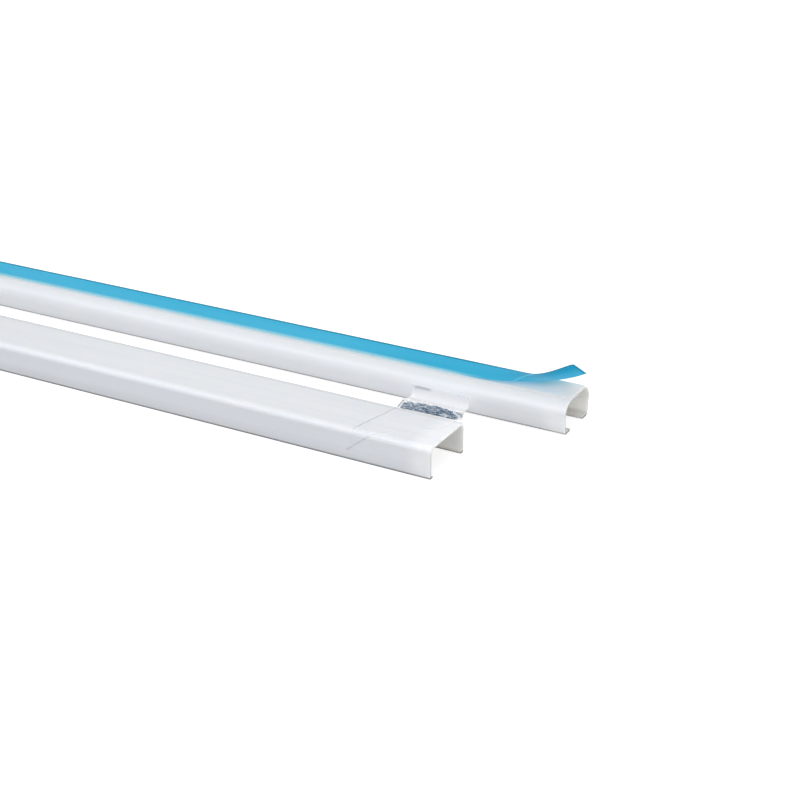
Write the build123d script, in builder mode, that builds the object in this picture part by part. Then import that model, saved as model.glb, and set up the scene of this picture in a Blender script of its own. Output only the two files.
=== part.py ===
from build123d import *
import os
from math import asin, atan2, cos, hypot, radians, sin, sqrt, tan

# A two-piece cord cover raceway as it is sold: the base channel lies on its mouth with its
# adhesive strip up, and the snap-fit cover lies beside it, held to it by a strip of clear tape.
# X runs along the raceway, Y from the cover to the base, Z up from the floor. Millimetres.

# Length of both channels
length = 400.0

# Base channel: outer section, with side walls that draw in from the rounded back towards the mouth
base_width = 22.6
base_height = 12.9
base_wall = 0.9
base_corner_radius = 6.0
upright_run = 0.3
wall_lean = 0.8
lip_corner_radius = 1.4
lip_length = 3.8

# Cover: sized from the base it snaps over, with a hook bead along each free edge
cover_wall = 1.0
cover_back = 1.2
cover_corner_radius = 2.0
free_edge_radius = 0.4
side_clearance = 0.2
top_clearance = 0.1
hook_reach = 1.0
hook_thickness = 0.8
hook_clearance = 0.1

# Adhesive strip and its release liner on the back of the base
tape_width = 13.6
tape_offset = -0.2
foam_thickness = 0.5
foam_bedding = 0.4
liner_thickness = 0.1

# Peeled end of the liner, measured from the base's end and from the flat liner: its near edge
# lifts slowly and then turns up, its far edge lifts later, and its far corner is clipped
peel_near = 45.0
peel_far = 22.9
flap_turn = 7.6
flap_turn_rise = 5.4
flap_overhang = 6.3
flap_setback = 3.9
flap_rise_near = 11.1
flap_rise_far = 7.6
flap_angle = 31.0
corner_clip = 2.0

# Clear binding tape: its section, and its run seen from above
film_thickness = 0.1
film_standoff = 0.05
film_foot = 1.6
film_foot_radius = 1.5
film_top_edge = 6.8
film_width = 24.2
film_setback = 1.6
film_slant = 5.35
film_drift = 11.6
film_lap = 0.1

# Slanting cut at the tape's end, over the cover's back and down to a point on its near wall
cut_depth = 9.0
cut_back_setback = 20.9
cut_wall_setback = 24.5
cut_tip_setback = 33.2
cut_tip_height = 3.25

# How the two channels lie
channel_gap = 28.95
end_stagger = 26.2

# The cover's section follows the base's: the hook seats where the base's rounded back corner
# has drawn in far enough for it
cover_inside_width = base_width + 2 * side_clearance
cover_width = cover_inside_width + 2 * cover_wall
corner_inset = hook_reach - side_clearance + hook_clearance
hook_seat = base_corner_radius - sqrt(2 * base_corner_radius * corner_inset - corner_inset**2)
cover_inside_height = base_height + top_clearance - hook_seat + hook_thickness
cover_height = cover_inside_height + cover_back

# The origin is the middle of the whole lot's footprint, at floor level
film_face = film_standoff + film_thickness
span_x = length + end_stagger + flap_overhang
span_y = film_face + cover_width + channel_gap + base_width
cover_left = -span_x / 2
cover_end = cover_left + length
base_left = cover_left + end_stagger
base_end = base_left + length
cover_near = -span_y / 2 + film_face
cover_centre = cover_near + cover_width / 2
base_near = cover_near + cover_width + channel_gap
base_centre = base_near + base_width / 2
tape_centre = base_centre + tape_offset
liner_level = base_height + foam_thickness

os.makedirs("parts", exist_ok=True)


# Base channel: one outline offset by the wall, slit along the floor side to leave two lips
base_plane = Plane(origin=(base_left, base_centre, 0), x_dir=(0, 1, 0), z_dir=(1, 0, 0))
base_half = base_width / 2
mouth_half = base_half - wall_lean
lean_start = base_height - base_corner_radius - upright_run
with BuildPart() as base_channel:
    with BuildSketch(base_plane) as base_section:
        with BuildLine():
            Polyline(
                (0, base_height),
                (base_half, base_height),
                (base_half, lean_start),
                (mouth_half, 0),
                (0, 0),
            )
            mirror(about=Plane.YZ)
        make_face()
        fillet(base_section.vertices().group_by(Axis.Y)[-1], base_corner_radius)
        fillet(base_section.vertices().group_by(Axis.Y)[0], lip_corner_radius)
        offset(amount=-base_wall, kind=Kind.INTERSECTION, mode=Mode.SUBTRACT)
        slot_width = 2 * (mouth_half - base_wall - lip_length)
        Rectangle(slot_width, 2 * base_wall, mode=Mode.SUBTRACT)
    extrude(amount=length)
base_channel.part.label = "base_channel"
export_step(base_channel.part, "parts/base_channel.step")


# Cover: a U that lies on its free edges, each with a rounded hook bead inside
cover_plane = Plane(origin=(cover_left, cover_centre, 0), x_dir=(0, 1, 0), z_dir=(1, 0, 0))
with BuildPart() as cover_channel:
    with BuildSketch(cover_plane) as cover_section:
        Rectangle(cover_width, cover_height, align=(Align.CENTER, Align.MIN))
        fillet(cover_section.vertices().group_by(Axis.Y)[-1], cover_corner_radius)
        fillet(cover_section.vertices().group_by(Axis.Y)[0], free_edge_radius)
        Rectangle(
            cover_inside_width, cover_inside_height, align=(Align.CENTER, Align.MIN), mode=Mode.SUBTRACT
        )
        fillet(cover_section.vertices().group_by(Axis.Y)[-2], cover_corner_radius - cover_wall)
        nose_radius = hook_thickness / 2
        nose_centre = cover_inside_width / 2 - hook_reach + nose_radius
        with Locations((-nose_centre, nose_radius), (nose_centre, nose_radius)):
            Circle(nose_radius)
        root_width = hook_reach - nose_radius
        root_centre = cover_inside_width / 2 - root_width / 2
        with Locations((-root_centre, nose_radius), (root_centre, nose_radius)):
            Rectangle(root_width, hook_thickness)
    extrude(amount=length)
cover_channel.part.label = "cover_channel"
export_step(cover_channel.part, "parts/cover_channel.step")


# Foam adhesive strip along the base's back, bedded down where the back starts to round off
with BuildPart() as adhesive_tape:
    with BuildSketch(Plane((base_left, tape_centre, base_height - foam_bedding))):
        Rectangle(length, tape_width, align=(Align.MIN, Align.CENTER))
    extrude(amount=foam_bedding + foam_thickness)
    add(base_channel.part, mode=Mode.SUBTRACT)
adhesive_tape.part.label = "adhesive_tape"
export_step(adhesive_tape.part, "parts/adhesive_tape.step")


# Release liner: flat to a slanting peel line, then a ruled flap between its two lifted edges
near_side = tape_centre - tape_width / 2
far_side = tape_centre + tape_width / 2
near_lift = base_end - peel_near
far_lift = base_end - peel_far
flap_tip = base_end - flap_setback
end_run = flap_overhang + flap_setback
end_share = corner_clip / hypot(end_run, tape_width)
flap_direction = (cos(radians(flap_angle)), 0, sin(radians(flap_angle)))
near_edge = Edge.make_spline(
    [
        (near_lift, near_side, liner_level),
        (base_end - flap_turn, near_side, liner_level + flap_turn_rise),
        (base_end + flap_overhang, near_side, liner_level + flap_rise_near),
    ],
    tangents=[(1, 0, 0), flap_direction],
)
far_edge = Edge.make_spline(
    [
        (far_lift, far_side, liner_level),
        (flap_tip, far_side, liner_level + flap_rise_far),
    ],
    tangents=[(1, 0, 0), flap_direction],
)
with BuildPart() as release_liner:
    with BuildSketch(Plane.XY.offset(liner_level)):
        with BuildLine():
            Polyline(
                (base_left, near_side),
                (near_lift, near_side),
                (far_lift, far_side),
                (base_left, far_side),
                close=True,
            )
        make_face()
    extrude(amount=liner_thickness)
    thicken(Face.make_surface_from_curves(near_edge, far_edge), amount=liner_thickness)
    with BuildSketch(Plane.XY.offset(liner_level)):
        with BuildLine():
            Polyline(
                (flap_tip - corner_clip, far_side),
                (flap_tip + end_share * end_run, far_side - end_share * tape_width),
                (flap_tip + 2 * corner_clip, far_side + corner_clip),
                (flap_tip - corner_clip, far_side + corner_clip),
                close=True,
            )
        make_face()
    extrude(amount=2 * flap_rise_far, mode=Mode.SUBTRACT)
release_liner.part.label = "release_liner"
export_step(release_liner.part, "parts/release_liner.step")


# Clear tape: round the cover's near corner, over its back, across the gap and up the base's wall
film_radius = cover_corner_radius + film_standoff
corner_level = cover_height - cover_corner_radius
far_corner = (cover_width - cover_corner_radius, corner_level)


def base_wall_face(z):
    """Y of the tape's inner side on the base's leaning near wall, from the cover's near wall."""
    return cover_width + channel_gap + wall_lean * (1 - z / lean_start) - film_standoff


foot = (base_wall_face(film_foot), film_foot)
reach = (foot[0] - far_corner[0], foot[1] - far_corner[1])
span_angle = asin(film_radius / hypot(*reach)) - atan2(reach[1], reach[0])
crest = far_corner[0] + film_radius * tan(span_angle / 2)
film_plane = Plane(origin=(cover_left, cover_near, 0), x_dir=(0, 1, 0), z_dir=(1, 0, 0))
film_right = cover_end - film_setback
film_left = film_right - film_width
cover_far = cover_near + cover_width
base_foot = base_near + wall_lean
with BuildPart() as binding_tape:
    with BuildSketch(film_plane):
        with BuildLine() as film_path:
            FilletPolyline(
                (-film_standoff, corner_level - film_lap),
                (-film_standoff, cover_height + film_standoff),
                (crest, cover_height + film_standoff),
                foot,
                (base_wall_face(film_top_edge), film_top_edge),
                radius=[film_radius, film_radius, film_foot_radius],
            )
            offset(amount=film_thickness, side=Side.LEFT)
        make_face()
    extrude(amount=length)
    with BuildSketch(Plane.XY):
        with BuildLine():
            Polyline(
                (cover_end - cut_wall_setback, cover_near - film_face),
                (cover_end - cut_back_setback, cover_near + cover_corner_radius),
                (film_right - film_slant * cut_depth / cover_width, cover_far - cut_depth),
                (film_right, cover_far),
                (film_right - film_drift, base_foot),
                (film_left - film_drift, base_foot),
                (film_left, cover_far),
                (film_left - film_slant, cover_near - film_face),
                close=True,
            )
        make_face()
    extrude(amount=cover_height + film_face, mode=Mode.INTERSECT)
    with BuildSketch(Plane.XZ.offset(film_standoff - cover_near)):
        with BuildLine():
            Polyline(
                (film_left - film_slant, corner_level),
                (cover_end - cut_wall_setback, corner_level),
                (cover_end - cut_tip_setback, cut_tip_height),
                close=True,
            )
        make_face()
    extrude(amount=film_thickness)
binding_tape.part.label = "binding_tape"
export_step(binding_tape.part, "parts/binding_tape.step")
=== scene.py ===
# %% [markdown]
# A cord cover raceway as it is sold: a white base channel that lies on its lips, with a blue release
# liner along its back, the snap-fit cover beside it, and a strip of clear tape that binds the two.
# The CAD part gives the extrusions. This lesson sets up the photograph's view, gives the plastic its
# finish, and makes the two thin films anew, because a film shows its waves, creases and cut edges.

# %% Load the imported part
import math

import bpy
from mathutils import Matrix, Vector, noise


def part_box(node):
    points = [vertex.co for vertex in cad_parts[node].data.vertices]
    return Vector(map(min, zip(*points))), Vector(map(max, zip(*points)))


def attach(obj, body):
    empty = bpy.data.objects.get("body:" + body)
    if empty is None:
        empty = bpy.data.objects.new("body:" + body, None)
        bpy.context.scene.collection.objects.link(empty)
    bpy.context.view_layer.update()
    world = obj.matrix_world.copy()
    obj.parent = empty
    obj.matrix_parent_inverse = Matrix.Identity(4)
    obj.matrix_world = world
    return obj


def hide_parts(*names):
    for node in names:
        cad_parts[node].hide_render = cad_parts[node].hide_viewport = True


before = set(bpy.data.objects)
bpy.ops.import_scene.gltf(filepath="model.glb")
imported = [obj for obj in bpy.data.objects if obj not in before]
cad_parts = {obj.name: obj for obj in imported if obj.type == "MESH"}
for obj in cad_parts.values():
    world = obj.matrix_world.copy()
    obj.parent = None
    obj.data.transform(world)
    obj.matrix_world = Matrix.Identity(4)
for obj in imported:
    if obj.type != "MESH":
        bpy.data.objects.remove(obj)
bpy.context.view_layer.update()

MM = 0.001
base_low, base_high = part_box("base_channel")
cover_low, cover_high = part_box("cover_channel")
foam_low, foam_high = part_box("adhesive_tape")
print("loaded", sorted(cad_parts), "length in mm", round((base_high.x - base_low.x) / MM, 1))

# %% [markdown]
# The photograph was taken from above the cover's end, a little to the right. A camera's place can be
# found by hand or, as here, from the edges of the two channels, which run along one line in space.
# A 67.5 mm lens on a 36 mm sensor gives the same narrowing towards the left.

# %% Camera
SENSOR_WIDTH = 36.0
LENS = 67.5
NEAREST_SEEN = 0.01
LOOK_DOWN = math.radians(24.325)
LOOK_LEFT = math.radians(29.174)
EYE_FROM_COVER_END = Vector((213.3, -403.0, 236.1)) * MM

camera_data = bpy.data.cameras.new("photo_camera")
camera_data.sensor_width = SENSOR_WIDTH
camera_data.lens = LENS
camera_data.clip_start = NEAREST_SEEN
camera = bpy.data.objects.new("photo_camera", camera_data)
bpy.context.scene.collection.objects.link(camera)
camera.location = Vector((cover_high.x, cover_low.y, 0.0)) + EYE_FROM_COVER_END
camera.rotation_euler = (math.pi / 2 - LOOK_DOWN, 0.0, LOOK_LEFT)
bpy.context.scene.camera = camera
print("camera at", [round(v, 3) for v in camera.location])

# %% [markdown]
# Floor, sky and finishes are all trees of shader nodes. A few helpers keep such a tree readable: they
# join two sockets, place a Math node, carry a value from one range to another, and mix two shaders.
# A curve node could shape a range too, but a smooth Map Range says its limits in plain numbers. In
# the cells below, a value that is a row of two or four numbers is most often such a ramp: where it
# starts, where it stops, and what comes out at each end.

# %% Helpers for node trees


def link(tree, source, target):
    """Joins an output socket to an input socket."""
    return tree.links.new(source, target)


def calculate(tree, operation, first, second=None, third=None):
    """A Math node whose inputs are sockets or plain numbers."""
    step = tree.nodes.new("ShaderNodeMath")
    step.operation = operation
    for slot, value in enumerate((first, second, third)):
        if isinstance(value, (int, float)):
            step.inputs[slot].default_value = value
        elif value is not None:
            link(tree, value, step.inputs[slot])
    return step.outputs[0]


def ramp(tree, value, low, high, to_low=0.0, to_high=1.0):
    """Carries a value from one range to another, smoothly, and stops at its ends."""
    step = tree.nodes.new("ShaderNodeMapRange")
    step.interpolation_type = "SMOOTHSTEP"
    limits = {"From Min": low, "From Max": high, "To Min": to_low, "To Max": to_high}
    for label, number in limits.items():
        step.inputs[label].default_value = number
    link(tree, value, step.inputs["Value"])
    return step.outputs["Result"]


def mix_shaders(tree, share, first, second):
    """A Mix Shader node: the first shader where the share is 0, the second where it is 1."""
    step = tree.nodes.new("ShaderNodeMixShader")
    link(tree, share, step.inputs[0])
    link(tree, first.outputs[0], step.inputs[1])
    link(tree, second.outputs[0], step.inputs[2])
    return step.outputs[0]


# %% [markdown]
# The product lies on a plain white ground. A floor that is only bright would throw too much light up
# at the plastic, so the floor is an ordinary pale one for the light, and only the camera and mirror
# rays see it whiter. The faint diffuse share that stays in that mix carries the object's shadow. The
# white grows with the distance from the object, so that the floor's far edge melts into the backdrop.

# %% Floor
FLOOR_SIZE = 6.0
FLOOR_COLOUR = (0.45, 0.45, 0.46, 1.0)
SEEN_WHITE = 0.71
SEEN_SHADOW = (0.50, 0.50, 0.50, 1.0)
WHITE_SWEEP = (0.35, 1.6)


def sight_rays(tree):
    """1 for the rays that show the background: camera, mirror and see-through rays."""
    rays = tree.nodes.new("ShaderNodeLightPath").outputs
    direct = calculate(tree, "MAXIMUM", rays["Is Camera Ray"], rays["Is Glossy Ray"])
    return calculate(tree, "MAXIMUM", direct, rays["Is Transmission Ray"])


bpy.ops.object.select_all(action="DESELECT")
bpy.ops.mesh.primitive_plane_add(size=FLOOR_SIZE)
floor = bpy.context.object
floor.name = "floor"
floor_paint = bpy.data.materials.new("floor_paint")
floor_paint.use_nodes = True
tree = floor_paint.node_tree
tree.nodes.clear()
ground = tree.nodes.new("ShaderNodeBsdfDiffuse")
ground.inputs["Color"].default_value = FLOOR_COLOUR
shadow_share = tree.nodes.new("ShaderNodeBsdfDiffuse")
shadow_share.inputs["Color"].default_value = SEEN_SHADOW
white_share = tree.nodes.new("ShaderNodeEmission")
where = tree.nodes.new("ShaderNodeTexCoord")
distance = tree.nodes.new("ShaderNodeVectorMath")
distance.operation = "LENGTH"
link(tree, where.outputs["Object"], distance.inputs[0])
sweep = ramp(tree, distance.outputs["Value"], *WHITE_SWEEP, SEEN_WHITE, 1.0)
link(tree, sweep, white_share.inputs["Strength"])
seen = tree.nodes.new("ShaderNodeAddShader")
link(tree, white_share.outputs[0], seen.inputs[0])
link(tree, shadow_share.outputs[0], seen.inputs[1])
floor_output = tree.nodes.new("ShaderNodeOutputMaterial")
link(tree, mix_shaders(tree, sight_rays(tree), ground, seen), floor_output.inputs["Surface"])
floor.data.materials.append(floor_paint)
print("floor", FLOOR_SIZE, "m wide")

# %% [markdown]
# The world is a pale sky, a little blue, that fills the shadows. The camera sees plain white in its
# place, as behind a cut-out product. A Light Path node tells the camera's rays from the others.

# %% Sky and white backdrop
SKY_LIGHT = (0.93, 0.97, 1.0, 1.0)
SKY_STRENGTH = 0.39
PLAIN_WHITE = (1.0, 1.0, 1.0, 1.0)

studio = bpy.data.worlds.new("studio")
bpy.context.scene.world = studio
studio.use_nodes = True
tree = studio.node_tree
tree.nodes.clear()
sky = tree.nodes.new("ShaderNodeBackground")
sky.inputs["Color"].default_value = SKY_LIGHT
sky.inputs["Strength"].default_value = SKY_STRENGTH
backdrop = tree.nodes.new("ShaderNodeBackground")
backdrop.inputs["Color"].default_value = PLAIN_WHITE
backdrop.inputs["Strength"].default_value = 1.0
rays = tree.nodes.new("ShaderNodeLightPath").outputs
world_output = tree.nodes.new("ShaderNodeOutputWorld")
link(tree, mix_shaders(tree, rays["Is Camera Ray"], sky, backdrop), world_output.inputs["Surface"])
bpy.context.scene.view_settings.view_transform = "Standard"
print("sky strength", SKY_STRENGTH)

# %% [markdown]
# Soft studio light: a softbox overhead makes the backs of the channels bright, but is hidden from
# mirror rays, because the photograph shows no gleam of it. One in front, at a slant, lights the near
# walls and draws the bright line low on the rounded edges. A low one at the right shines into the
# open ends. All are area lamps, whose size makes the shadows soft.

# %% Lamps
LAMPS_AIM = Vector((0.10, 0.0, 0.0))
OVERHEAD_COLOUR = (1.0, 0.99, 0.98)
FRONT_COLOUR = (0.90, 0.935, 1.0)
END_COLOUR = (1.0, 0.99, 0.97)


def softbox(name, place, width, depth, watts, colour):
    """An area lamp at a place, turned to shine at the right half of the channels."""
    data = bpy.data.lights.new(name, "AREA")
    data.shape = "RECTANGLE"
    data.size = width
    data.size_y = depth
    data.energy = watts
    data.color = colour
    lamp = bpy.data.objects.new(name, data)
    bpy.context.scene.collection.objects.link(lamp)
    lamp.location = place
    lamp.rotation_euler = (LAMPS_AIM - Vector(place)).to_track_quat("-Z", "Y").to_euler()
    return lamp


overhead = softbox(
    "overhead_softbox", (0.05, -0.03, 0.80), width=1.15, depth=1.0, watts=4.85, colour=OVERHEAD_COLOUR
)
overhead.visible_glossy = False
softbox("front_softbox", (-0.05, -0.67, 0.43), width=1.4, depth=0.30, watts=2.5, colour=FRONT_COLOUR)
softbox("end_softbox", (0.95, -0.10, 0.13), width=0.6, depth=0.22, watts=3.5, colour=END_COLOUR)
print("lamps", [lamp.name for lamp in bpy.data.lights])

# %% [markdown]
# Node groups hold the effects that several finishes share. Each one puts out only masks and heights,
# and the shader itself stays in the material. The first is what an extrusion die leaves: very fine
# lines that run along the whole length, broader streaks, and a slow cloud in the colour. Noise that
# is squeezed across and stretched along X gives all three.

# %% Node group: die lines along an extrusion
FLOAT = "NodeSocketFloat"
DIE_LINES_PER_METRE = (2.5, 1500.0, 1500.0)
STREAKS_PER_METRE = (3.0, 420.0, 420.0)
CLOUDS_PER_METRE = (14.0, 70.0, 70.0)


def new_group(name, inputs, outputs):
    """An empty shader node group with named sockets, and its two end nodes."""
    group = bpy.data.node_groups.new(name, "ShaderNodeTree")
    for label, kind, value in inputs:
        group.interface.new_socket(label, in_out="INPUT", socket_type=kind).default_value = value
    for label, kind in outputs:
        group.interface.new_socket(label, in_out="OUTPUT", socket_type=kind)
    return group, group.nodes.new("NodeGroupInput"), group.nodes.new("NodeGroupOutput")


def stretched_noise(tree, scale, detail):
    """Noise on the object's own coordinates, scaled apart along each axis."""
    place = tree.nodes.new("ShaderNodeTexCoord")
    mapping = tree.nodes.new("ShaderNodeMapping")
    mapping.inputs["Scale"].default_value = scale
    link(tree, place.outputs["Object"], mapping.inputs["Vector"])
    pattern = tree.nodes.new("ShaderNodeTexNoise")
    pattern.inputs["Scale"].default_value = 1.0
    pattern.inputs["Detail"].default_value = detail
    link(tree, mapping.outputs[0], pattern.inputs["Vector"])
    return pattern.outputs["Fac"]


line_outputs = [("Lines", FLOAT), ("Streaks", FLOAT), ("Cloud", FLOAT)]
die_lines, _, ends = new_group("die_lines", [], line_outputs)
link(die_lines, stretched_noise(die_lines, DIE_LINES_PER_METRE, 3.0), ends.inputs["Lines"])
link(die_lines, stretched_noise(die_lines, STREAKS_PER_METRE, 2.0), ends.inputs["Streaks"])
link(die_lines, stretched_noise(die_lines, CLOUDS_PER_METRE, 2.0), ends.inputs["Cloud"])
print("group", die_lines.name)

# %% [markdown]
# Both channels were sawn to length, so their ends are duller than the drawn faces and carry fine saw
# marks. The mask reads which way a face points: only the end faces point along X.

# %% Node group: sawn ends
SAW_MARKS_PER_METRE = (1.0, 500.0, 3500.0)
END_FACING = (0.7, 0.95)


def coordinates(tree, kind):
    """X, Y and Z of a point, by the kind "Object", or of the way that its face points, by "Normal"."""
    where = tree.nodes.new("ShaderNodeTexCoord")
    parts = tree.nodes.new("ShaderNodeSeparateXYZ")
    link(tree, where.outputs[kind], parts.inputs[0])
    return parts.outputs


sawn_end, _, ends = new_group("sawn_end", [], [("Mask", FLOAT), ("Marks", FLOAT)])
lengthways = calculate(sawn_end, "ABSOLUTE", coordinates(sawn_end, "Normal")["X"])
link(sawn_end, ramp(sawn_end, lengthways, *END_FACING), ends.inputs["Mask"])
link(sawn_end, stretched_noise(sawn_end, SAW_MARKS_PER_METRE, 2.0), ends.inputs["Marks"])
print("group", sawn_end.name)

# %% [markdown]
# The inside of an extrusion never touches the polished sizing plates, so it is duller, and its white is
# painted creamier for the light that bounces in it many times. A face belongs to the inside if it points
# towards the channel's middle line, so the mask compares the two directions with a dot product.

# %% Node group: inside of a channel
POINTS_INWARD = (-0.6 * MM, -0.2 * MM, 1.0, 0.0)

centre_inputs = [("Centre Y", FLOAT, 0.0), ("Centre Z", FLOAT, 0.0)]
channel_inside, given, ends = new_group("channel_inside", centre_inputs, [("Mask", FLOAT)])
spot = coordinates(channel_inside, "Object")
facing = coordinates(channel_inside, "Normal")
sideways = calculate(channel_inside, "SUBTRACT", spot["Y"], given.outputs["Centre Y"])
upward = calculate(channel_inside, "SUBTRACT", spot["Z"], given.outputs["Centre Z"])
upward_share = calculate(channel_inside, "MULTIPLY", upward, facing["Z"])
outward = calculate(channel_inside, "MULTIPLY_ADD", sideways, facing["Y"], upward_share)
link(channel_inside, ramp(channel_inside, outward, *POINTS_INWARD), ends.inputs["Mask"])
print("group", channel_inside.name)

# %% [markdown]
# White PVC: a satin surface, a cool white outside and a creamier one inside, painted for the light that
# bounces in the channel, with a little light passing through the thin wall. Both channels have the same
# finish but not the same numbers, and many of these numbers are painted light and shade: how white
# each is, the base's white painted lighter than the cover's, how much painted shade darkens its back,
# how much a painted highlight lightens its rounded corner, how high the painted shade on its free edges
# reaches, and how much painted light leaks out at its end or comes back from the channel beside it.

# %% White plastic: the looks of the two channels
# Painted light and shade: the whites, back shade, corner highlight, lone wall shade, end and gap glows.
COVER_LOOK = {
    "white": (0.835, 0.843, 0.862, 1.0),
    "back_shade": 1.0,
    "painted_corner_highlight": 1.15,
    "outer_edge_top": 1.1 * MM,
    "inner_edge": (0.2 * MM, 1.1 * MM, 0.24, 1.0),
    "end_light": 0.02,
    "gap_light": 0.0,
    "lone_wall_painted_shade": 1.0,
}
BASE_LOOK = {
    "white": (0.98, 0.985, 0.995, 1.0),
    "back_shade": 0.80,
    "painted_corner_highlight": 1.0,
    "outer_edge_top": 1.25 * MM,
    "inner_edge": (0.9 * MM, 2.4 * MM, 0.72, 1.0),
    "end_light": 0.095,
    "gap_light": 0.04,
    "lone_wall_painted_shade": 0.93,
}
print("shade of the cover's back", COVER_LOOK["back_shade"], "and of the base's", BASE_LOOK["back_shade"])

# %% [markdown]
# On the outside the white carries painted light and shade that change with the place. Ramps on the
# height tell the back, the foot of the walls and the rounded corner apart, a ramp on Y finds the far
# edge, and ramps on X find the ends and the part of the base that stands out past the cover. The back,
# the foot, the far edge and that lone part get painted shade, the corner a painted highlight, and the
# ends and the wall beside the cover painted light. Painted vertex colours could do this too, but a CAD
# extrusion has hardly any points along its length.

# %% White plastic: shades of the outside
BACK_START = 9.5 * MM
BACK_FULL_UNDER_TOP = 0.4 * MM
WALL_FOOT_PAINTED_SHADE = (1.0 * MM, 5.0 * MM, 0.90, 1.0)
CORNER_UNDER_TOP = (2.6 * MM, 1.9 * MM)
FLAT_UNDER_TOP = (1.0 * MM, 0.2 * MM)
FAR_EDGE_FROM_SIDE = (4.5 * MM, 2.0 * MM)
FAR_EDGE_SHADE = 0.88
SIDE_WALL = (8.0 * MM, 10.5 * MM, 1.0, 0.0)
PAST_COVER_END = (-20.0 * MM, 5.0 * MM)
END_GLOW = (11.0 * MM, 2.2 * MM)


def outside_shades(tree, place, high, look):
    """Painted shades of a channel's back, of the foot of its walls and of its far edge, and a painted
    highlight on its corner.
    """
    height = place["Z"]
    back = ramp(tree, height, BACK_START, high.z - BACK_FULL_UNDER_TOP, 1.0, look["back_shade"])
    # painted shade, darker towards the foot of the walls
    foot = ramp(tree, height, *WALL_FOOT_PAINTED_SHADE)
    upper = ramp(tree, height, *(high.z - depth for depth in CORNER_UNDER_TOP))
    under_flat = ramp(tree, height, *(high.z - depth for depth in FLAT_UNDER_TOP), 1.0, 0.0)
    corner = calculate(tree, "MULTIPLY", upper, under_flat)
    # a painted highlight that lightens the rounded corner
    shine = calculate(tree, "MULTIPLY_ADD", corner, look["painted_corner_highlight"] - 1.0, 1.0)
    far_side = ramp(tree, place["Y"], *(high.y - inset for inset in FAR_EDGE_FROM_SIDE))
    far_corner = calculate(tree, "MULTIPLY", far_side, upper)
    # painted shade along the far edge
    far_edge = ramp(tree, far_corner, 0.0, 1.0, 1.0, FAR_EDGE_SHADE)
    return back, foot, shine, far_edge


def gap_painted_light_and_shade(tree, place, look):
    """Painted shade on a side wall that nothing stands beside, and painted light on one beside a channel.
    """
    side_wall = ramp(tree, place["Z"], *SIDE_WALL)
    ahead = ramp(tree, place["X"], *(cover_high.x + offset for offset in PAST_COVER_END))
    lone_wall = calculate(tree, "MULTIPLY", ahead, side_wall)
    shade = calculate(tree, "MULTIPLY_ADD", lone_wall, look["lone_wall_painted_shade"] - 1.0, 1.0)
    beside = ramp(tree, ahead, 0.0, 1.0, look["gap_light"], 0.0)
    return shade, calculate(tree, "MULTIPLY", beside, side_wall)


def end_glow(tree, place, low, high):
    """1 at both ends of a channel and 0 further in."""
    half = (high.x - low.x) / 2
    from_middle = calculate(tree, "SUBTRACT", place["X"], (low.x + high.x) / 2)
    from_middle = calculate(tree, "ABSOLUTE", from_middle)
    return ramp(tree, from_middle, *(half - reach for reach in END_GLOW))


print("ends glow over", round(END_GLOW[0] / MM, 1), "mm")

# %% [markdown]
# Now the finish itself. Its colour is the outside with its painted light and shade, the inside with its
# painted bounce light, the sawn ends and a painted shade along the free edges, where little light gets
# in. Die lines and saw marks change the roughness and the height by a hair. Light that bounces about
# inside, leaks out at an end or comes back across the gap is painted on as a faint glow, because too
# few rays would find those ways.

# %% White plastic: the finish
END_PAINTED_LIGHT = (0.985, 0.985, 0.985, 1.0)
PAINTED_BOUNCE_WHITE = (0.95, 0.932, 0.90, 1.0)
STREAK_SHADE = (0.3, 0.7, 0.965, 1.0)
CLOUD_SHADE = (0.3, 0.7, 0.975, 1.0)
SAW_MARK_SHADE = (0.35, 0.65, 0.80, 1.0)
SAWN_WALL_UNDER_TOP = (3.0 * MM, 1.0 * MM)
SAWN_WALL_SHADE = 0.70
EDGE_START = 0.2 * MM
EDGE_SHADE = 0.24
EDGE_GLOSS = 0.05
WALL_GLOSS = 0.5
SATIN_ROUGHNESS = (0.3, 0.7, 0.29, 0.34)
EXTRA_ROUGHNESS = 0.25
DIE_LINE_RELIEF = (0.02 * MM, 0.05)
SAW_MARK_RELIEF = (0.05 * MM, 0.6)
INSIDE_LIGHT = 0.055
LEAK_HEIGHT = (5.0 * MM, 9.0 * MM)
PVC_REFRACTION = 1.53
PVC_SCATTER = 0.60
PVC_SCATTER_RADIUS = (1.0, 0.85, 0.65)
PVC_SCATTER_DEPTH = 2.0 * MM


def blend_colours(tree, share, first, second, mode="MIX"):
    """A colour between two, by a mask. The colours are sockets or plain values."""
    step = tree.nodes.new("ShaderNodeMix")
    step.data_type = "RGBA"
    step.blend_type = mode
    if isinstance(share, float):
        step.inputs[0].default_value = share
    else:
        link(tree, share, step.inputs[0])
    for slot, value in ((6, first), (7, second)):
        if isinstance(value, tuple):
            step.inputs[slot].default_value = value
        else:
            link(tree, value, step.inputs[slot])
    return step.outputs[2]


def shaded(tree, colour, *shades):
    """A colour multiplied by shades, one after the other."""
    for shade in shades:
        colour = blend_colours(tree, 1.0, colour, shade, "MULTIPLY")
    return colour


def place_group(tree, group, **values):
    """Places a node group in a material with its own values, and gives its outputs."""
    step = tree.nodes.new("ShaderNodeGroup")
    step.node_tree = group
    for label, value in values.items():
        step.inputs[label.replace("_", " ")].default_value = value
    return step.outputs


def new_finish(name):
    """A material with only its Principled shader."""
    finish = bpy.data.materials.new(name)
    finish.use_nodes = True
    return finish, finish.node_tree, finish.node_tree.nodes["Principled BSDF"]


def bump(tree, height, distance, strength, after=None):
    """A Bump node for a height, on top of another bump if one is given."""
    step = tree.nodes.new("ShaderNodeBump")
    step.inputs["Distance"].default_value = distance
    step.inputs["Strength"].default_value = strength
    link(tree, height, step.inputs["Height"])
    if after is not None:
        link(tree, after, step.inputs["Normal"])
    return step.outputs["Normal"]


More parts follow.
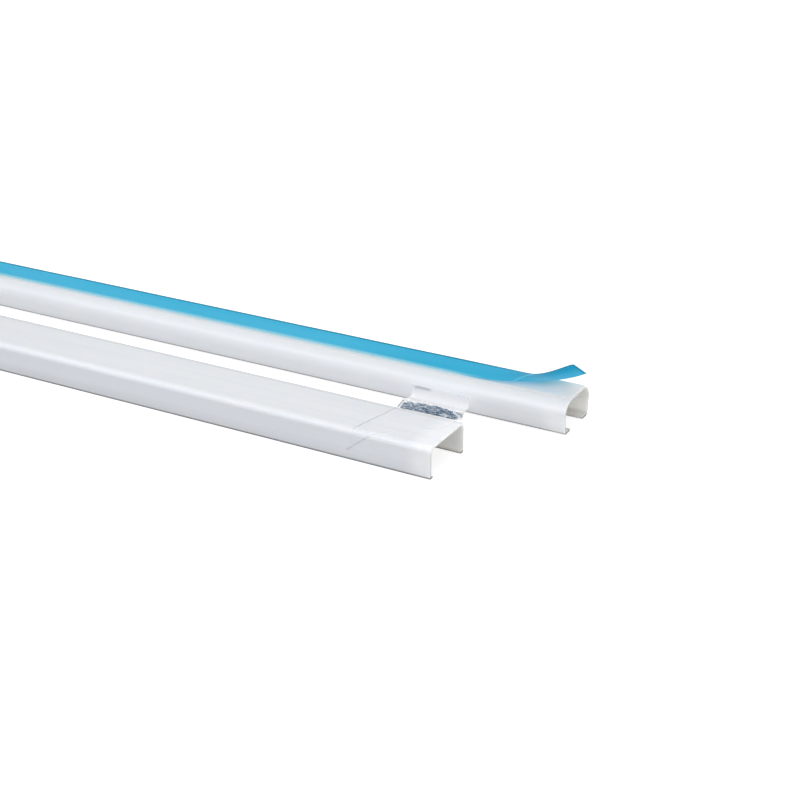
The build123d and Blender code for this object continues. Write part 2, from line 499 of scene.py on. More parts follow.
def white_plastic(name, low, high, look):
    """The finish of one channel, from the box that it fills and its look."""
    finish, tree, shader = new_finish(name)
    lines = place_group(tree, die_lines)
    sawn = place_group(tree, sawn_end)
    centre_y = (low.y + high.y) / 2
    centre_z = (low.z + high.z) / 2
    inside = place_group(tree, channel_inside, Centre_Y=centre_y, Centre_Z=centre_z)["Mask"]
    place = coordinates(tree, "Object")
    height = place["Z"]
    glow = end_glow(tree, place, low, high)
    wall_shade, gap_light = gap_painted_light_and_shade(tree, place, look)

    streak = ramp(tree, lines["Streaks"], *STREAK_SHADE)
    # Painted light whitens both ends.
    white = blend_colours(tree, glow, look["white"], END_PAINTED_LIGHT)
    # Painted shade on the back, the wall foot, the far edge and a lone wall; a painted highlight on the
    # corner.
    white = shaded(tree, white, *outside_shades(tree, place, high, look), wall_shade, streak)
    # The inside's creamier white is painted bounce light.
    white = blend_colours(tree, inside, white, PAINTED_BOUNCE_WHITE)
    white = shaded(tree, white, ramp(tree, lines["Cloud"], *CLOUD_SHADE))
    saw_shade = ramp(tree, sawn["Marks"], *SAW_MARK_SHADE)
    wall_top = (high.z - depth for depth in SAWN_WALL_UNDER_TOP)
    wall_end = ramp(tree, height, *wall_top, SAWN_WALL_SHADE, 1.0)
    white = blend_colours(tree, sawn["Mask"], white, shaded(tree, white, saw_shade, wall_end))
    # A painted shade along the free edges, outside and inside.
    outer_edge = ramp(tree, height, EDGE_START, look["outer_edge_top"], EDGE_SHADE, 1.0)
    inner_edge = ramp(tree, height, *look["inner_edge"])
    white = shaded(tree, white, blend_colours(tree, inside, outer_edge, inner_edge))
    link(tree, white, shader.inputs["Base Color"])

    gloss = ramp(tree, height, EDGE_START, look["outer_edge_top"], EDGE_GLOSS, WALL_GLOSS)
    link(tree, gloss, shader.inputs["Specular IOR Level"])
    satin = ramp(tree, lines["Lines"], *SATIN_ROUGHNESS)
    dull = calculate(tree, "MAXIMUM", inside, sawn["Mask"])
    roughness = calculate(tree, "MULTIPLY_ADD", dull, EXTRA_ROUGHNESS, satin)
    link(tree, roughness, shader.inputs["Roughness"])
    drawn = bump(tree, lines["Lines"], *DIE_LINE_RELIEF)
    marks = calculate(tree, "MULTIPLY", sawn["Marks"], sawn["Mask"])
    link(tree, bump(tree, marks, *SAW_MARK_RELIEF, drawn), shader.inputs["Normal"])

    # Painted glows: inside, leaking out at the ends, and on the wall beside the cover.
    within = calculate(tree, "MULTIPLY", inside, INSIDE_LIGHT)
    leak_by_height = ramp(tree, height, *LEAK_HEIGHT, look["end_light"], 0.0)
    leak = calculate(tree, "MULTIPLY", glow, leak_by_height)
    light = calculate(tree, "MAXIMUM", within, leak)
    light = calculate(tree, "MAXIMUM", light, gap_light)
    link(tree, shaded(tree, PAINTED_BOUNCE_WHITE, light), shader.inputs["Emission Color"])
    shader.inputs["Emission Strength"].default_value = 1.0
    shader.inputs["IOR"].default_value = PVC_REFRACTION
    shader.inputs["Subsurface Weight"].default_value = PVC_SCATTER
    shader.inputs["Subsurface Radius"].default_value = PVC_SCATTER_RADIUS
    shader.inputs["Subsurface Scale"].default_value = PVC_SCATTER_DEPTH
    return finish


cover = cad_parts["cover_channel"]
cover.material_slots[0].material = white_plastic("cover_pvc", cover_low, cover_high, COVER_LOOK)
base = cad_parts["base_channel"]
base.material_slots[0].material = white_plastic("base_pvc", base_low, base_high, BASE_LOOK)
print("white plastic on", cover.name, "and", base.name)

# %% [markdown]
# The adhesive strip is white foam with a tacky coat on top. Its cut sides show small cells, have a
# faint painted glow for the light that foam scatters, and carry painted blue light that comes through
# the liner above them: the height inside the strip tells the side's lower part from its blue upper
# edge. Voronoi cells make the foam. Where the liner is peeled off, the blue light that its flap throws
# on the bare top is painted into the colour, in a band that runs at a slant as the peel line does and
# fades towards the end.

# %% Foam adhesive strip
FOAM_WHITE = (0.86, 0.86, 0.86, 1.0)
FOAM_SIDE_BLUE_LIGHT = (0.62, 0.86, 0.94, 1.0)
SIDE_BLUE_LIGHT_SHARE = (0.3, 0.9)
SIDE_BLUE_LIGHT_STOP = (45.0 * MM, 22.5 * MM)
FOAM_TOP = (0.98, 0.93, 0.89, 1.0)
TOP_FACING = (0.5, 0.9)
FOAM_PAINTED_FLAP_LIGHT = (0.14, 0.58, 0.70, 1.0)
GLOW_START = 21.4 * MM
GLOW_SLANT = 25.0
GLOW_WIDTH = 0.62
GLOW_MOST = 0.90
GLOW_FADE = (-16.0 * MM, -1.0 * MM, 1.0, 0.2)
CELLS_PER_METRE = 4200.0
PORE_SHADE = (0.1, 0.6, 1.0, 0.96)
TOP_CLOUDS_PER_METRE = (160.0, 400.0, 400.0)
TOP_CLOUD_SHADE = (0.3, 0.7, 0.97, 1.0)
SIDE_ROUGHNESS = 0.75
TACKY_ROUGHNESS = 0.22
SIDE_CELL_HEIGHT = 1.15
CELL_RELIEF = (0.02 * MM, 0.25)
SIDE_LIGHT = 0.035

finish, tree, shader = new_finish("white_foam_tape")
where = tree.nodes.new("ShaderNodeTexCoord")
cells = tree.nodes.new("ShaderNodeTexVoronoi")
cells.inputs["Scale"].default_value = CELLS_PER_METRE
link(tree, where.outputs["Object"], cells.inputs["Vector"])
place = coordinates(tree, "Object")
tacky = ramp(tree, coordinates(tree, "Normal")["Z"], *TOP_FACING)
# Painted blue light from the liner on the sides' upper edge, only where the liner still lies.
side_blue_light = ramp(tree, place["Z"], foam_low.z, foam_high.z, *SIDE_BLUE_LIGHT_SHARE)
covered = ramp(tree, place["X"], *(base_high.x - stop for stop in SIDE_BLUE_LIGHT_STOP), 1.0, 0.0)
side = blend_colours(tree, calculate(tree, "MULTIPLY", side_blue_light, covered), FOAM_WHITE, FOAM_SIDE_BLUE_LIGHT)
side = shaded(tree, side, ramp(tree, cells.outputs["Distance"], *PORE_SHADE))
# Painted blue light that the flap throws on the bare top, in a slanting band.
foam_width = foam_high.y - foam_low.y
across = calculate(tree, "MULTIPLY_ADD", place["Y"], 1 / foam_width, -foam_low.y / foam_width)
from_end = calculate(tree, "SUBTRACT", place["X"], base_high.x)
glow_edge = calculate(tree, "MULTIPLY_ADD", from_end, GLOW_SLANT, GLOW_SLANT * GLOW_START)
past_edge = calculate(tree, "SUBTRACT", across, glow_edge)
blue_light = ramp(tree, past_edge, 0.0, GLOW_WIDTH, 0.0, GLOW_MOST)
blue_light = calculate(tree, "MULTIPLY", blue_light, ramp(tree, from_end, *GLOW_FADE))
top_cloud = ramp(tree, stretched_noise(tree, TOP_CLOUDS_PER_METRE, 2.0), *TOP_CLOUD_SHADE)
top = shaded(tree, blend_colours(tree, blue_light, FOAM_TOP, FOAM_PAINTED_FLAP_LIGHT), top_cloud)
link(tree, blend_colours(tree, tacky, side, top), shader.inputs["Base Color"])
roughness = ramp(tree, tacky, 0.0, 1.0, SIDE_ROUGHNESS, TACKY_ROUGHNESS)
link(tree, roughness, shader.inputs["Roughness"])
cell_share = calculate(tree, "SUBTRACT", SIDE_CELL_HEIGHT, tacky)
cell_height = calculate(tree, "MULTIPLY", cells.outputs["Distance"], cell_share)
link(tree, bump(tree, cell_height, *CELL_RELIEF), shader.inputs["Normal"])
# A faint painted glow on the sides.
side_light = ramp(tree, tacky, 0.0, 1.0, SIDE_LIGHT, 0.0)
link(tree, shaded(tree, side, side_light), shader.inputs["Emission Color"])
shader.inputs["Emission Strength"].default_value = 1.0
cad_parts["adhesive_tape"].material_slots[0].material = finish
print("foam finish on adhesive_tape")

# %% [markdown]
# The release liner is a thin blue film. Most of it lies flat on the adhesive, and its right end has
# been peeled up, twisted and cut off at a slant with one corner clipped. A curve modifier could lift
# the end, but the two long edges rise at different places, so a flat grid is laid point by point
# between two edge lines. Each line is a row of distance from the base's end, height and slope.

# %% Liner: lines of its two edges
LINER_REST = foam_high.z + 0.02 * MM
NEAR_EDGE = ((-45.0, 0.0, 0.0), (-7.6, 5.4, 0.288), (5.8, 11.0, 0.60))
FAR_EDGE = ((-22.9, 0.0, 0.0), (-5.0, 7.4, 0.52))
RIPPLE_HEIGHT = 0.05 * MM
RIPPLE_LENGTH = 24.0 * MM
RIPPLES_ACROSS = 1.4
RIPPLE_LAYER = 2.0


def lift(edge, along):
    """Height of a liner edge at a distance from the base's end, both in millimetres.
    It is flat before the edge's first mark and smooth between its marks."""
    if along <= edge[0][0]:
        return edge[0][1]
    for (x0, z0, m0), (x1, z1, m1) in zip(edge, edge[1:]):
        if along <= x1:
            reach = x1 - x0
            t = (along - x0) / reach
            rise = z0 + (z1 - z0) * t * t * (3 - 2 * t)
            return rise + reach * t * (1 - t) * (m0 * (1 - t) - m1 * t)
    return edge[-1][1]


def liner_point(u, v):
    """Where the point at u along and v across the liner lies."""
    near_end = base_high.x + NEAR_EDGE[-1][0] * MM
    far_end = base_high.x + FAR_EDGE[-1][0] * MM
    near_x = base_low.x + u * (near_end - base_low.x)
    far_x = base_low.x + u * (far_end - base_low.x)
    near_z = lift(NEAR_EDGE, (near_x - base_high.x) / MM) * MM
    far_z = lift(FAR_EDGE, (far_x - base_high.x) / MM) * MM
    x = near_x + v * (far_x - near_x)
    y = foam_low.y + v * (foam_high.y - foam_low.y)
    z = near_z + v * (far_z - near_z)
    wave = noise.noise(Vector((x / RIPPLE_LENGTH, v * RIPPLES_ACROSS, RIPPLE_LAYER)))
    return Vector((x, y, LINER_REST + z + RIPPLE_HEIGHT * (1 + wave)))


print("near edge rises", NEAR_EDGE[-1][1], "mm, far edge", FAR_EDGE[-1][1], "mm")

# %% [markdown]
# The grid is laid between the two lines, and its far corner is clipped by bisect, which cuts through
# faces where deleting points would leave a jagged edge. Solidify then makes a closed film of it.

# %% Liner: lay the grid, clip the corner, give it thickness
LINER_COLUMNS = 300
LINER_ROWS = 18
CORNER_CLIP = 0.9 * MM
FILM_THICKNESS = 0.06 * MM
JOIN_WITHIN = 0.001 * MM
SHARP_ANGLE = math.radians(40.0)


def flat_grid(name, columns, rows):
    """A unit grid with a UV map, at the origin, to be laid out point by point."""
    bpy.ops.object.select_all(action="DESELECT")
    bpy.ops.mesh.primitive_grid_add(
        x_subdivisions=columns, y_subdivisions=rows, size=1.0, calc_uvs=True
    )
    piece = bpy.context.object
    piece.name = name
    piece.data.name = name
    return piece


def cut_away(point, normal):
    """Bisects the piece just made and drops what lies on the side that the normal points to."""
    bpy.ops.object.mode_set(mode="EDIT")
    bpy.ops.mesh.select_all(action="SELECT")
    bpy.ops.mesh.bisect(
        plane_co=point, plane_no=normal.normalized(), clear_outer=True, threshold=JOIN_WITHIN
    )
    bpy.ops.object.mode_set(mode="OBJECT")


def thicken_sheet(piece, thickness):
    """Turns the sheet just made into a closed film with a rim, smooth but for its cut edges."""
    wall = piece.modifiers.new("thickness", "SOLIDIFY")
    wall.thickness = thickness
    wall.offset = 1.0
    bpy.ops.object.modifier_apply(modifier=wall.name)
    bpy.ops.object.mode_set(mode="EDIT")
    bpy.ops.mesh.select_all(action="SELECT")
    bpy.ops.mesh.remove_doubles(threshold=JOIN_WITHIN)
    bpy.ops.mesh.normals_make_consistent(inside=False)
    bpy.ops.object.mode_set(mode="OBJECT")
    bpy.ops.object.shade_smooth_by_angle(angle=SHARP_ANGLE)


liner = flat_grid("liner_film", LINER_COLUMNS, LINER_ROWS)
for corner in liner.data.vertices:
    corner.co = liner_point(corner.co.x + 0.5, corner.co.y + 0.5)
far_tip = Vector((base_high.x + FAR_EDGE[-1][0] * MM, foam_high.y, 0.0))
near_tip = Vector((base_high.x + NEAR_EDGE[-1][0] * MM, foam_low.y, 0.0))
clip_start = far_tip - Vector((CORNER_CLIP, 0.0, 0.0))
clip_line = far_tip + (near_tip - far_tip).normalized() * CORNER_CLIP - clip_start
cut_away(clip_start, Vector((-clip_line.y, clip_line.x, 0.0)))
thicken_sheet(liner, FILM_THICKNESS)
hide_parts("release_liner")
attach(liner, "root")
print("liner", len(liner.data.polygons), "faces")

# %% [markdown]
# Blue liner: a satin coloured film. The colour is a little uneven along its length, streaked along
# the way it was drawn, and darker in a hair line at each cut edge, where light goes into the film.
# A painted highlight makes a pale crease across it where it was folded back, and the flap past it is
# painted deeper, as shade. The grid's UV map tells how near a point is to an edge or to that crease.
# Light goes through so thin a film, so for the rays that look for the lamps it lets a pale blue part of
# the light pass.

# %% Blue film finish
LINER_BLUE = (0.042, 0.38, 0.61, 1.0)
LINER_LIGHT = (0.065, 0.42, 0.67, 1.0)
FLAP_SHADED_NEAR = (0.048, 0.345, 0.56, 1.0)
FLAP_SHADED_FAR = (0.002, 0.255, 0.43, 1.0)
LINER_FAR_EDGE = (0.010, 0.17, 0.25, 1.0)
LINER_NEAR_EDGE = (0.34, 0.62, 0.74, 1.0)
LINER_CREASE_HIGHLIGHT = (0.16, 0.62, 0.85, 1.0)
THROUGH_LINER = (0.92, 0.96, 0.98, 1.0)
LINER_CLOUDS_PER_METRE = (9.0, 60.0, 60.0)
LINER_CLOUD = (0.3, 0.7)
LINER_STREAKS_PER_METRE = (6.0, 2200.0, 50.0)
LINER_STREAK_SHADE = (0.3, 0.7, 0.96, 1.0)
PALE_NEAR_EDGE = (0.0, 0.20, 1.0, 0.0)
LYING_FLAT = (0.86, 0.91, 1.0, 0.0)
FAR_LINE = (0.88, 0.96)
END_LINE = (0.9970, 0.9995)
CREASE_AT = 0.930
CREASE_SLANT = 0.032
CREASE_WIDTH = 0.0022
CREASE_SHARE = 0.6
FLAP_ACROSS = (0.1, 0.8)
FLAP_PAST_CREASE = (-0.035, 0.02)
LINER_GLOSS = 0.02
LINER_SCATTER = 0.6
LINER_SCATTER_RADIUS = (0.3, 0.8, 1.0)
LINER_SCATTER_DEPTH = 0.5 * MM
LINER_ROUGHNESS = (0.2, 0.8, 0.30, 0.40)
LINER_RELIEF = (0.01 * MM, 0.25)


def pass_light(tree, shader, colour):
    """Lets the rays that look for the lamps go through a film, dimmed by a colour."""
    rays = tree.nodes.new("ShaderNodeLightPath").outputs
    through = tree.nodes.new("ShaderNodeBsdfTransparent")
    through.inputs["Color"].default_value = colour
    mixed = mix_shaders(tree, rays["Is Shadow Ray"], shader, through)
    link(tree, mixed, tree.nodes["Material Output"].inputs["Surface"])


finish, tree, shader = new_finish("blue_liner_film")
flat_map = tree.nodes.new("ShaderNodeUVMap")
parts = tree.nodes.new("ShaderNodeSeparateXYZ")
link(tree, flat_map.outputs[0], parts.inputs[0])
along = parts.outputs["X"]
across = parts.outputs["Y"]
clouds = stretched_noise(tree, LINER_CLOUDS_PER_METRE, 2.0)
streaks = stretched_noise(tree, LINER_STREAKS_PER_METRE, 2.0)
blue = blend_colours(tree, ramp(tree, clouds, *LINER_CLOUD), LINER_BLUE, LINER_LIGHT)
blue = shaded(tree, blue, ramp(tree, streaks, *LINER_STREAK_SHADE))
pale_edge = ramp(tree, across, *PALE_NEAR_EDGE)
pale_edge = calculate(tree, "MULTIPLY", pale_edge, ramp(tree, along, *LYING_FLAT))
blue = blend_colours(tree, pale_edge, blue, LINER_NEAR_EDGE)
crease_line = calculate(tree, "MULTIPLY_ADD", across, CREASE_SLANT, CREASE_AT)
past_crease = calculate(tree, "SUBTRACT", along, crease_line)
# Painted shade: the flap past the crease is deeper blue.
flap = blend_colours(tree, ramp(tree, across, *FLAP_ACROSS), FLAP_SHADED_NEAR, FLAP_SHADED_FAR)
blue = blend_colours(tree, ramp(tree, past_crease, *FLAP_PAST_CREASE), blue, flap)
# A painted highlight along the crease.
from_crease = calculate(tree, "ABSOLUTE", past_crease)
crease = ramp(tree, from_crease, 0.0, CREASE_WIDTH, CREASE_SHARE, 0.0)
blue = blend_colours(tree, crease, blue, LINER_CREASE_HIGHLIGHT)
end_line = ramp(tree, along, *END_LINE)
edge = calculate(tree, "MAXIMUM", ramp(tree, across, *FAR_LINE), end_line)
link(tree, blend_colours(tree, edge, blue, LINER_FAR_EDGE), shader.inputs["Base Color"])
shader.inputs["Specular IOR Level"].default_value = LINER_GLOSS
shader.inputs["Subsurface Weight"].default_value = LINER_SCATTER
shader.inputs["Subsurface Radius"].default_value = LINER_SCATTER_RADIUS
shader.inputs["Subsurface Scale"].default_value = LINER_SCATTER_DEPTH
link(tree, ramp(tree, streaks, *LINER_ROUGHNESS), shader.inputs["Roughness"])
link(tree, bump(tree, streaks, *LINER_RELIEF), shader.inputs["Normal"])
pass_light(tree, shader, THROUGH_LINER)
liner.data.materials.append(finish)
print("blue finish on", liner.name)

# %% [markdown]
# The clear tape is cut from a roll, so it starts as a flat strip whose end is cut at a slant. It is
# folded along its path: down the cover's near wall, round the corner, over the back, across the gap
# and up the base's wall. Shrinkwrap would press it on, but would not keep its width over the gap, so
# each point's distance along the strip is looked up on that path.

# %% Clear tape: the path that it is folded along
FILM_GAP = 0.05 * MM
COVER_CORNER = 2.0 * MM
TIP_HEIGHT = 3.25 * MM
FOOT_HEIGHT = 1.6 * MM
TOP_HEIGHT = 7.1 * MM
FOOT_BEND = 4.6 * MM
BASE_LEAN = 0.8 * MM
BASE_LEAN_TOP = 6.6 * MM
NEAR_ARC_STEPS = 10
FAR_ARC_STEPS = 8
FOOT_STEPS = 6


def arc(centre, radius, start, stop, steps):
    """Points along an arc in the YZ plane, angles in radians."""
    points = []
    for i in range(steps + 1):
        angle = start + (stop - start) * i / steps
        y = centre[0] + radius * math.cos(angle)
        z = centre[1] + radius * math.sin(angle)
        points.append(Vector((y, z)))
    return points


def base_wall(height):
    """A point on the face of the base's near wall, which leans in towards the mouth."""
    drawn_in = BASE_LEAN * (1 - min(height / BASE_LEAN_TOP, 1.0))
    return Vector((base_low.y + drawn_in - FILM_GAP, height))


corner_level = cover_high.z - COVER_CORNER
near_centre = (cover_low.y + COVER_CORNER, corner_level)
far_centre = (cover_high.y - COVER_CORNER, corner_level)
bend = COVER_CORNER + FILM_GAP
foot = base_wall(FOOT_HEIGHT)
drop = foot - Vector(far_centre)
fall = math.asin(bend / drop.length) - math.atan2(drop.y, drop.x)
far_arc = arc(far_centre, bend, math.pi / 2, math.pi / 2 - fall, FAR_ARC_STEPS)
up_wall = (base_wall(TOP_HEIGHT) - foot).normalized()
into_foot = (foot - far_arc[-1]).normalized()
foot_bend = []
for step in range(FOOT_STEPS + 1):
    t = step / FOOT_STEPS
    foot_bend.append(foot - into_foot * FOOT_BEND * (1 - t) ** 2 + up_wall * FOOT_BEND * t**2)
path = [Vector((cover_low.y - FILM_GAP, TIP_HEIGHT))]
path += arc(near_centre, bend, math.pi, math.pi / 2, NEAR_ARC_STEPS)
back_start = len(path) - 1
path += far_arc
span_start = len(path) - 1
path += foot_bend
span_stop = len(path) - len(foot_bend)
path.append(base_wall(TOP_HEIGHT))
run = [0.0]
for before, after in zip(path, path[1:]):
    run.append(run[-1] + (after - before).length)
span = run[span_stop] - run[span_start]
print("tape path", round(run[-1] / MM, 1), "mm, over the gap", round(span / MM, 1))

# %% [markdown]
# While the strip is still flat, each point gets marks that the finish will read: where the tape hangs
# loose, how it is creased, where the dark ground is painted on it, where it looks hazy, where it is
# milky with painted light, and where an edge, a grey fold or a painted glint shows. Painting a picture
# for this would tie the tape to one resolution. Places on the tape are in millimetres, across from its
# left edge and along from its tip.

# %% Clear tape: what shows where on the flat strip
TAPE_WIDTH = 24.2 * MM
CUT_REACH = 24.1 * MM
LEAVES_COVER = (0.3, 3.0)
MEETS_BASE = (-0.5, 2.0)
MILKY_FROM_BASE = (6.0, 11.0)
WALL_FROM_BACK = (0.0, 3.0)
DARK_REACH = (
    (1.0, 13.0),
    (3.1, 17.9),
    (9.3, 21.0),
    (15.4, 22.1),
    (20.8, 18.9),
    (22.3, 11.2),
    (23.2, 5.0),
)
DARK_SLANT = 0.05
DARK_STARTS = (-0.5, 0.3)
DARK_STOPS = (-1.0, 0.5)
DARK_FROM_LEFT = (0.7, 1.7)
DARK_FROM_RIGHT = (0.9, 1.9)
RAGGED = 0.8
RAGGED_START = 0.5
RAGGED_PER_MM = 0.5
RAGGED_LAYER = 6.0
FOLD_SHARE = 0.75
FOLD_SHARPNESS = 3.2
FINE_SHARE = 0.25
GLINT_FOOT = Vector((23.0, 9.4))
GLINT_TOP = Vector((17.6, 27.0))
GLINT_STARTS = (-0.1, 0.05)
GLINT_STOPS = (0.95, 1.1)
GLINT_WIDTH = (0.15, 0.55)
GREY_FROM_GLINT = (0.2, 0.9)
GREY_FROM_BASE = (8.0, 10.0)
SMUDGE = 0.6
SMUDGE_STARTS = (0.5, 2.0)
SMUDGE_STOPS = (6.5, 9.0)
SMUDGE_FROM_END = (0.6, 1.6)
HAZE_ON_COVER = 0.03
HAZE_OVER_GAP = 0.30
HAZE_ON_BASE = 0.55
CUT_EDGE = 0.15
CUT_EDGE_ON_WALL = 0.30
CUT_EDGE_WIDTH = (0.2, 1.2)
LEFT_EDGE = 0.55
LEFT_EDGE_LOOSE = 0.45
LEFT_EDGE_WIDTH = (0.3, 1.3)
RIGHT_EDGE = 0.30
RIGHT_EDGE_WIDTH = (0.1, 0.5)


def between(value, marks):
    """Looks a value up in a row of (place, result) marks, straight between them."""
    if value <= marks[0][0]:
        return marks[0][1]
    for (a, first), (b, second) in zip(marks, marks[1:]):
        if value <= b:
            return first + (second - first) * (value - a) / (b - a)
    return marks[-1][1]


def smooth(value, low, high):
    """0 below low, 1 above high, and a smooth step between."""
    t = min(max((value - low) / (high - low), 0.0), 1.0)
    return t * t * (3 - 2 * t)


def crumple(u, s):
    """Creases of the loose span, from -1 to 1: long folds that a swirl bends, and finer ones."""
    swirl = noise.noise(Vector((u * 0.16, s * 0.16, 4.0)))
    fold = noise.noise(Vector((u * 0.42 + s * 0.22 + swirl, s * 0.16 - u * 0.10, 8.0)))
    fine = noise.noise(Vector((u * 1.1 - s * 0.5, s * 0.8, 1.0)))
    return FOLD_SHARE * (1 - FOLD_SHARPNESS * abs(fold)) + FINE_SHARE * fine


def dark_share(u, s):
    """1 where the loose tape is painted dark with the ground that shows through it, inside a ragged
    outline, and 0 elsewhere.
    """
    over_gap = s - run[span_start] / MM
    ragged = RAGGED * noise.noise(Vector((u * RAGGED_PER_MM, s * RAGGED_PER_MM, RAGGED_LAYER)))
    past_start = over_gap + RAGGED_START * ragged - DARK_SLANT * u
    past_stop = over_gap - between(u, DARK_REACH) - ragged
    return min(
        smooth(past_start, *DARK_STARTS),
        1 - smooth(past_stop, *DARK_STOPS),
        smooth(u, *DARK_FROM_LEFT),
        smooth(TAPE_WIDTH / MM - u, *DARK_FROM_RIGHT),
    )


def tape_marks(u, s):
    """All marks of a point that lies u across and s along."""
    from_right = TAPE_WIDTH / MM - u
    over_gap = s - run[span_start] / MM
    to_base = run[span_stop] / MM - s
    loose = min(smooth(over_gap, *LEAVES_COVER), smooth(to_base, *MEETS_BASE))
    on_base = 1 - smooth(to_base, *MILKY_FROM_BASE)
    on_wall = smooth(run[back_start] / MM - s, *WALL_FROM_BACK)

    glint_line = GLINT_TOP - GLINT_FOOT
    glint_way = glint_line.normalized()
    from_glint = Vector((u, over_gap)) - GLINT_FOOT
    along_glint = from_glint.dot(glint_way) / glint_line.length
    right_of_glint = from_glint.x * glint_way.y - from_glint.y * glint_way.x
    on_glint = min(smooth(along_glint, *GLINT_STARTS), 1 - smooth(along_glint, *GLINT_STOPS))
    grey_fold = on_glint * smooth(right_of_glint, *GREY_FROM_GLINT) * smooth(to_base, *GREY_FROM_BASE)
    at_end = 1 - smooth(run[-1] / MM - s, *SMUDGE_FROM_END)
    smudge = min(smooth(u, *SMUDGE_STARTS), 1 - smooth(u, *SMUDGE_STOPS), at_end)

    from_cut = (s * TAPE_WIDTH - u * CUT_REACH) / math.hypot(TAPE_WIDTH, CUT_REACH)
    cut_edge = (CUT_EDGE + CUT_EDGE_ON_WALL * on_wall) * (1 - smooth(from_cut, *CUT_EDGE_WIDTH))
    left_edge = (LEFT_EDGE + LEFT_EDGE_LOOSE * loose) * (1 - smooth(u, *LEFT_EDGE_WIDTH))
    right_edge = RIGHT_EDGE * (1 - smooth(from_right, *RIGHT_EDGE_WIDTH))
    return {
        "loose": loose,
        "crease": crumple(u, s),
        # painted dark ground over the gap
        "dark": dark_share(u, s),
        "haze": max(HAZE_ON_COVER, HAZE_OVER_GAP * loose, HAZE_ON_BASE * on_base),
        "edge": max(cut_edge, left_edge * (1 - on_wall) * (1 - on_base), right_edge * (1 - on_base)),
        "grey": max(grey_fold, SMUDGE * smudge),
        # a painted glint along a line on the loose span
        "glint": on_glint * (1 - smooth(abs(right_of_glint), *GLINT_WIDTH)),
        # the milky patch on the base: partly the film's haze, partly painted light
        "milky_and_painted_light": on_base,
    }


mid_gap = tape_marks(TAPE_WIDTH / 2 / MM, (run[span_start] + span / 2) / MM)
print("marks at the middle of the gap", {name: round(value, 2) for name, value in mid_gap.items()})

# %% [markdown]
# The strip is cut at a slant, given its marks and folded along the path. Its left edge wanders along
# the way, so a row of marks says how far from the cover's end it lies. Over the gap the creases lift
# the film a little, and it spreads.

# %% Clear tape: cut the flat strip and fold it
TAPE_COLUMNS = 84
TAPE_ROWS = 200
LEFT_AT_TIP = -33.2 * MM
LEFT_AT_BACK = -30.7 * MM
LEFT_AT_FAR = -26.2 * MM
SPAN_BULGE = 22.0 * MM
LEFT_AT_BULGE = -35.2 * MM
LEFT_AT_BASE = -36.5 * MM
SPAN_WIDENS = 0.06
CRUMPLE_HEIGHT = 0.5 * MM
MARKS = ("loose", "crease", "dark", "haze", "edge", "grey", "glint", "milky_and_painted_light")
left_marks = (
    (0.0, LEFT_AT_TIP),
    (run[back_start], LEFT_AT_BACK),
    (run[span_start], LEFT_AT_FAR),
    (run[span_start] + SPAN_BULGE, LEFT_AT_BULGE),
    (run[span_stop], LEFT_AT_BASE),
)


def on_path(distance):
    """The point on the path at a distance, and the direction away from the channels."""
    for i in range(len(path) - 1):
        if distance <= run[i + 1] or i == len(path) - 2:
            ahead = path[i + 1] - path[i]
            t = (distance - run[i]) / ahead.length
            away = Vector((-ahead.y, ahead.x)).normalized()
            return path[i] + ahead * t, away


tape = flat_grid("clear_tape", TAPE_COLUMNS, TAPE_ROWS)
for corner in tape.data.vertices:
    corner.co = Vector(((corner.co.x + 0.5) * TAPE_WIDTH, (corner.co.y + 0.5) * run[-1], 0.0))
cut_away(Vector((0.0, 0.0, 0.0)), Vector((CUT_REACH, -TAPE_WIDTH, 0.0)))
for name in MARKS:
    tape.data.attributes.new(name, "FLOAT", "POINT")
marks = {name: tape.data.attributes[name].data for name in MARKS}
for i, corner in enumerate(tape.data.vertices):
    x, s = corner.co.x, corner.co.y
    shows = tape_marks(x / MM, s / MM)
    for name in MARKS:
        marks[name][i].value = shows[name]
    spot, away = on_path(s)
    spot = spot + away * shows["crease"] * shows["loose"] * CRUMPLE_HEIGHT
    x_wide = x * (1 + SPAN_WIDENS * shows["loose"])
    corner.co = Vector((cover_high.x + between(s, left_marks) + x_wide, spot.x, spot.y))
thicken_sheet(tape, FILM_THICKNESS)
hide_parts("binding_tape")
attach(tape, "root")
print("tape", len(tape.data.polygons), "faces")

# %% [markdown]
# Where the tape is stuck down it is almost invisible: a faint veil, a thin line along its edges, and
# a milky patch on the base's wall, partly the film's haze and partly painted light. Over the gap it
# hangs loose and crumpled, and there the dark ground that shows through it and is mirrored in it is
# painted in, slate blue and mottled, with painted white glints on the creases and a grey fold along
# the brightest of them. The marks on the points tell the finish which is which, and alpha makes the
# rest see-through.

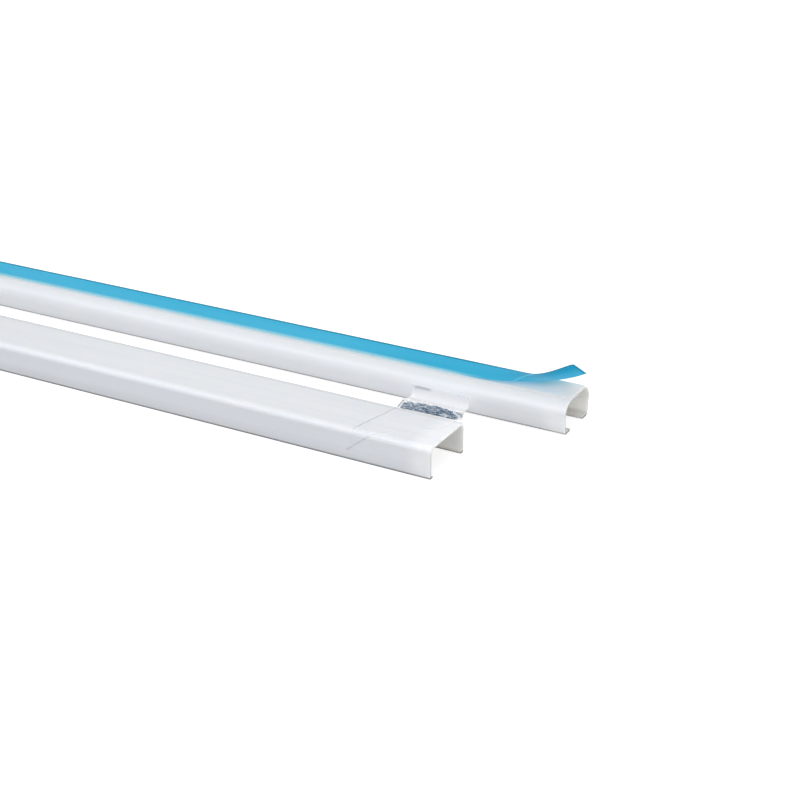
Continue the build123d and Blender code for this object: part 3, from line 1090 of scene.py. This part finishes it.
# %% Clear film finish
VEIL = (0.93, 0.93, 0.93, 1.0)
MILKY_AND_PAINTED_LIGHT = (0.88, 0.88, 0.89, 1.0)
EDGE_LINE = (0.22, 0.23, 0.26, 1.0)
PAINTED_GROUND_DARK = (0.012, 0.040, 0.092, 1.0)
PAINTED_GROUND_LIGHT = (0.12, 0.21, 0.32, 1.0)
LOOSE_GREY = (0.52, 0.53, 0.58, 1.0)
FOLD_GREY = (0.30, 0.31, 0.36, 1.0)
GLINT = (0.80, 0.86, 0.92, 1.0)
THROUGH_FILM = (0.97, 0.97, 0.98, 1.0)
MOTTLE_PER_METRE = (1300.0, 1300.0, 1300.0)
MOTTLE_LIGHT = (0.34, 0.68)
CREASE_GLINT = (0.60, 0.78)
MOST_OPAQUE = {"edge": 0.55, "grey": 0.55, "dark": 0.93, "glint": 0.85}
FILM_ROUGHNESS = (0.2, 0.8, 0.10, 0.22)
FILM_RELIEF = (0.05 * MM, 0.4)
FILM_GLOSS = 0.25


def attribute(tree, name):
    """Reads a value that is kept on the mesh's points."""
    step = tree.nodes.new("ShaderNodeAttribute")
    step.attribute_name = name
    return step.outputs["Fac"]


finish, tree, shader = new_finish("clear_film_tape")
share = {name: attribute(tree, name) for name in MARKS}
mottle = stretched_noise(tree, MOTTLE_PER_METRE, 3.0)
# Painted dark ground that shows through the loose film and is mirrored in it.
painted_ground = blend_colours(tree, ramp(tree, mottle, *MOTTLE_LIGHT), PAINTED_GROUND_DARK, PAINTED_GROUND_LIGHT)
# Painted white glints on the crease ridges.
painted_ground = blend_colours(tree, ramp(tree, share["crease"], *CREASE_GLINT), painted_ground, GLINT)
film = blend_colours(tree, share["loose"], VEIL, LOOSE_GREY)
# The milky patch on the base is partly the film's haze and partly painted light.
film = blend_colours(tree, share["milky_and_painted_light"], film, MILKY_AND_PAINTED_LIGHT)
film = blend_colours(tree, share["grey"], film, FOLD_GREY)
film = blend_colours(tree, share["edge"], film, EDGE_LINE)
film = blend_colours(tree, share["dark"], film, painted_ground)
# Painted glint along the brightest crease.
link(tree, blend_colours(tree, share["glint"], film, GLINT), shader.inputs["Base Color"])
opaque = share["haze"]
for name, most in MOST_OPAQUE.items():
    opaque = calculate(tree, "MAXIMUM", opaque, calculate(tree, "MULTIPLY", share[name], most))
link(tree, opaque, shader.inputs["Alpha"])
link(tree, ramp(tree, mottle, *FILM_ROUGHNESS), shader.inputs["Roughness"])
link(tree, bump(tree, mottle, *FILM_RELIEF), shader.inputs["Normal"])
shader.inputs["Specular IOR Level"].default_value = FILM_GLOSS
pass_light(tree, shader, THROUGH_FILM)
tape.data.materials.append(finish)
print("clear finish on", tape.name)
